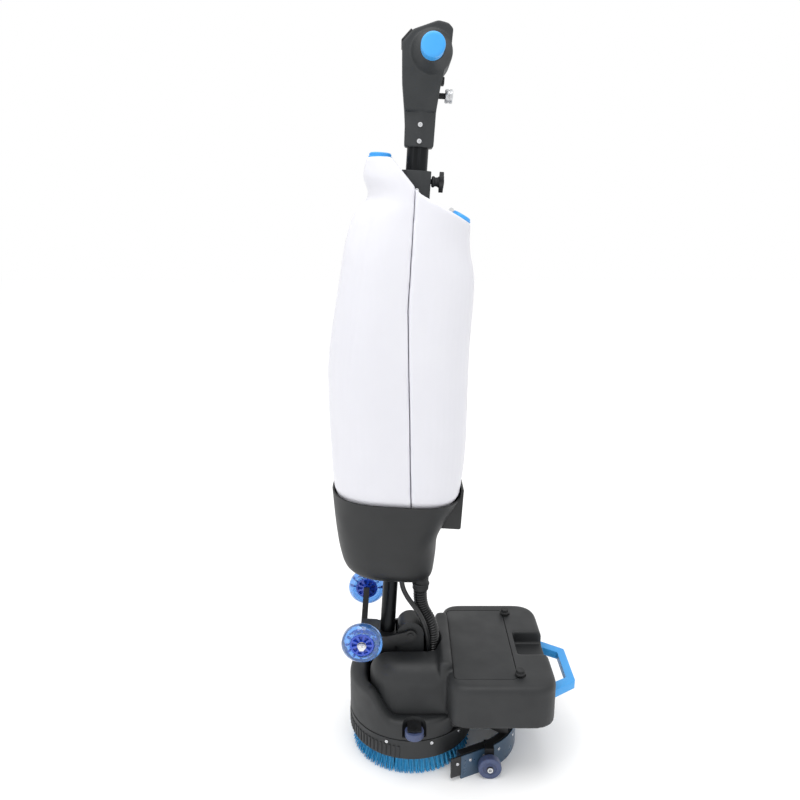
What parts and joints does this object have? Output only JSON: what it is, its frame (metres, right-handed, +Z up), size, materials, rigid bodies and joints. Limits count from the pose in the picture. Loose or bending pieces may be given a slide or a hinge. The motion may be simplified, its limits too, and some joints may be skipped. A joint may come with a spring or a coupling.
{
  "type": "wet dry floor scrubber",
  "caption": "Upright battery floor scrubber: round brush head with battery box and curved squeegee, and a tilting column carrying two tanks and a height-adjustable handle.",
  "frame": {"origin": "Middle of the overall box in plan, on the floor that the machine stands on.", "axes": "+Z up, +X rearwards from the brush to the squeegee and the operator, +Y completes a right-handed frame."},
  "size_m": [0.436, 0.28, 1.2401],
  "materials": {
    "black_plastic": "moulded black plastic",
    "motor_metal": "die cast",
    "dark_shell": "fine-grained moulded polypropylene",
    "blue_plastic": "satin blue plastic",
    "bristle_blue": "nylon bristle",
    "grey_blue_pu": "translucent polyurethane",
    "black_steel": "black powder coat",
    "black_aluminium": "black anodised",
    "bright_steel": "zinc plated",
    "board_green": "circuit board laminate",
    "hose_black": "flexible corrugated hose",
    "wheel_blue": "translucent polyurethane",
    "tank_milk": "translucent blow-moulded polyethylene",
    "silver_knob": "knurled bright aluminium"
  },
  "bodies": {
    "head": {"brush_deck": "black_plastic", "skirt_ring": "black_plastic", "brush_gearmotor": "motor_metal", "hinge_post": "dark_shell", "solenoid_valve": "black_plastic", "head_dome": "dark_shell", "fender_ring": "dark_shell", "roller_brackets": "black_plastic", "battery_box": "dark_shell", "battery_pack": "black_plastic", "rear_handle": "blue_plastic", "lift_brackets": "black_plastic", "suction_port": "black_plastic"},
    "brush": {"brush_plate": "blue_plastic", "brush_drive_hub": "black_plastic", "brush_bristles": "bristle_blue", "brush_bristles_carrying": "bristle_blue"},
    "squeegee": {"squeegee_body": "black_plastic", "squeegee_blades": "grey_blue_pu", "squeegee_arms": "black_steel", "caster_brackets": "black_steel"},
    "caster_near": {"caster_wheel_near": "grey_blue_pu"},
    "caster_far": {"caster_wheel_far": "grey_blue_pu"},
    "roller_near": {"guide_roller_near": "grey_blue_pu"},
    "roller_far": {"guide_roller_far": "grey_blue_pu"},
    "lid": {"battery_lid": "dark_shell"},
    "knob_near": {"lid_knob_near": "black_plastic"},
    "knob_far": {"lid_knob_far": "black_plastic"},
    "column": {"pole_tube": "black_aluminium", "hinge_fork": "black_steel", "wheel_bracket": "black_steel", "wheel_axles": "bright_steel", "tank_base": "dark_shell", "suction_motor": "motor_metal", "control_board": "board_green", "hose_cuff": "black_plastic", "charger_box": "black_plastic", "clamp_collar": "dark_shell", "suction_hose": "hose_black", "water_hose": "hose_black"},
    "wheel_near": {"transport_wheel_near": "wheel_blue"},
    "wheel_far": {"transport_wheel_far": "wheel_blue"},
    "impeller": {"suction_impeller": "black_plastic"},
    "clean_tank_body": {"clean_tank": "tank_milk"},
    "clean_cap": {"clean_tank_cap": "blue_plastic"},
    "recovery_tank_body": {"recovery_tank": "tank_milk", "float_cage": "black_plastic"},
    "recovery_cap": {"recovery_tank_cap": "blue_plastic"},
    "float": {"float_valve": "blue_plastic"},
    "star": {"star_knob": "black_plastic"},
    "handle": {"telescopic_tube": "black_aluminium", "handle_head": "dark_shell", "control_panel": "black_plastic", "handle_screws": "bright_steel", "grip_caps": "blue_plastic"},
    "dial": {"speed_dial": "silver_knob"},
    "button_brush": {"brush_button": "black_plastic"},
    "button_power": {"power_button": "black_plastic"},
    "button_suction": {"suction_button": "black_plastic"},
    "trigger": {"start_trigger": "black_plastic"}
  },
  "joints": [
    {"name": "column_tilt", "type": "hinge", "parent": "head", "child": "column", "pos_m": [-0.0795, 0, 0.225], "axis": [0, 1, 0], "range_deg": [-3.4, 50], "deforming": ["suction_hose", "water_hose"]},
    {"name": "brush_spin", "type": "hinge", "parent": "head", "child": "brush", "pos_m": [-0.0775, 0, 0.06], "axis": [0, 0, 1], "continuous": true},
    {"name": "squeegee_lift", "type": "hinge", "parent": "head", "child": "squeegee", "pos_m": [-0.0035, 0, 0.102], "axis": [0, -1, 0], "range_deg": [0, 12]},
    {"name": "caster_near_spin", "type": "hinge", "parent": "squeegee", "child": "caster_near", "pos_m": [0.0595, -0.1145, 0.0205], "axis": [0, 1, 0], "continuous": true},
    {"name": "caster_far_spin", "type": "hinge", "parent": "squeegee", "child": "caster_far", "pos_m": [0.0595, 0.1145, 0.0205], "axis": [0, 1, 0], "continuous": true},
    {"name": "roller_near_spin", "type": "hinge", "parent": "head", "child": "roller_near", "pos_m": [-0.0735, -0.115, 0.09], "axis": [0, 0, 1], "continuous": true},
    {"name": "roller_far_spin", "type": "hinge", "parent": "head", "child": "roller_far", "pos_m": [-0.0735, 0.115, 0.09], "axis": [0, 0, 1], "continuous": true},
    {"name": "lid_open", "type": "hinge", "parent": "head", "child": "lid", "pos_m": [-0.004, 0, 0.1935], "axis": [0, -1, 0], "range_deg": [0, 100]},
    {"name": "knob_near_turn", "type": "hinge", "parent": "lid", "child": "knob_near", "pos_m": [0.1085, -0.1, 0.195], "axis": [0, 0, 1], "range_deg": [0, 90]},
    {"name": "knob_far_turn", "type": "hinge", "parent": "lid", "child": "knob_far", "pos_m": [0.1085, 0.1, 0.195], "axis": [0, 0, 1], "range_deg": [0, 90]},
    {"name": "transport_wheel_near_spin", "type": "hinge", "parent": "column", "child": "wheel_near", "pos_m": [-0.16348, -0.098, 0.25603], "axis": [0, 1, 0], "continuous": true},
    {"name": "transport_wheel_far_spin", "type": "hinge", "parent": "column", "child": "wheel_far", "pos_m": [-0.16348, 0.098, 0.25603], "axis": [0, 1, 0], "continuous": true},
    {"name": "impeller_spin", "type": "hinge", "parent": "column", "child": "impeller", "pos_m": [-0.15348, 0, 0.42633], "axis": [0.0604, 0, 0.9982], "continuous": true},
    {"name": "clean_tank_lift", "type": "slide", "parent": "column", "child": "clean_tank_body", "axis": [-0.0187, 0, 0.9998], "range_m": [0, 0.06]},
    {"name": "recovery_tank_lift", "type": "slide", "parent": "column", "child": "recovery_tank_body", "axis": [0.0604, 0, 0.9982], "range_m": [0, 0.06]},
    {"name": "clean_cap_lift", "type": "slide", "parent": "clean_tank_body", "child": "clean_cap", "axis": [0.0604, 0, 0.9982], "range_m": [0, 0.03]},
    {"name": "recovery_cap_lift", "type": "slide", "parent": "recovery_tank_body", "child": "recovery_cap", "axis": [0.4918, 0, 0.8707], "range_m": [0, 0.03]},
    {"name": "float_rise", "type": "slide", "parent": "recovery_tank_body", "child": "float", "axis": [0.0604, 0, 0.9982], "range_m": [0, 0.012]},
    {"name": "handle_height", "type": "slide", "parent": "column", "child": "handle", "axis": [0.0604, 0, 0.9982], "range_m": [-0.03, 0.15]},
    {"name": "clamp_knob_turn", "type": "hinge", "parent": "column", "child": "star", "pos_m": [-0.05046, 0, 1.01519], "axis": [0.9982, 0, -0.0604], "range_deg": [-180, 180]},
    {"name": "speed_dial_turn", "type": "hinge", "parent": "handle", "child": "dial", "pos_m": [-0.02952, 0, 1.14115], "axis": [0.9982, 0, -0.0604], "range_deg": [0, 300]},
    {"name": "brush_button_press", "type": "slide", "parent": "handle", "child": "button_brush", "axis": [0.717, 0, -0.6971], "range_m": [0, 0.0012], "stiffness_N_per_m": 300},
    {"name": "power_button_press", "type": "slide", "parent": "handle", "child": "button_power", "axis": [0.717, 0, -0.6971], "range_m": [0, 0.0012], "stiffness_N_per_m": 300},
    {"name": "suction_button_press", "type": "slide", "parent": "handle", "child": "button_suction", "axis": [0.717, 0, -0.6971], "range_m": [0, 0.0012], "stiffness_N_per_m": 300},
    {"name": "start_trigger_press", "type": "slide", "parent": "handle", "child": "trigger", "axis": [-0.9982, 0, 0.0604], "range_m": [0, 0.003], "stiffness_N_per_m": 300}
  ]
}
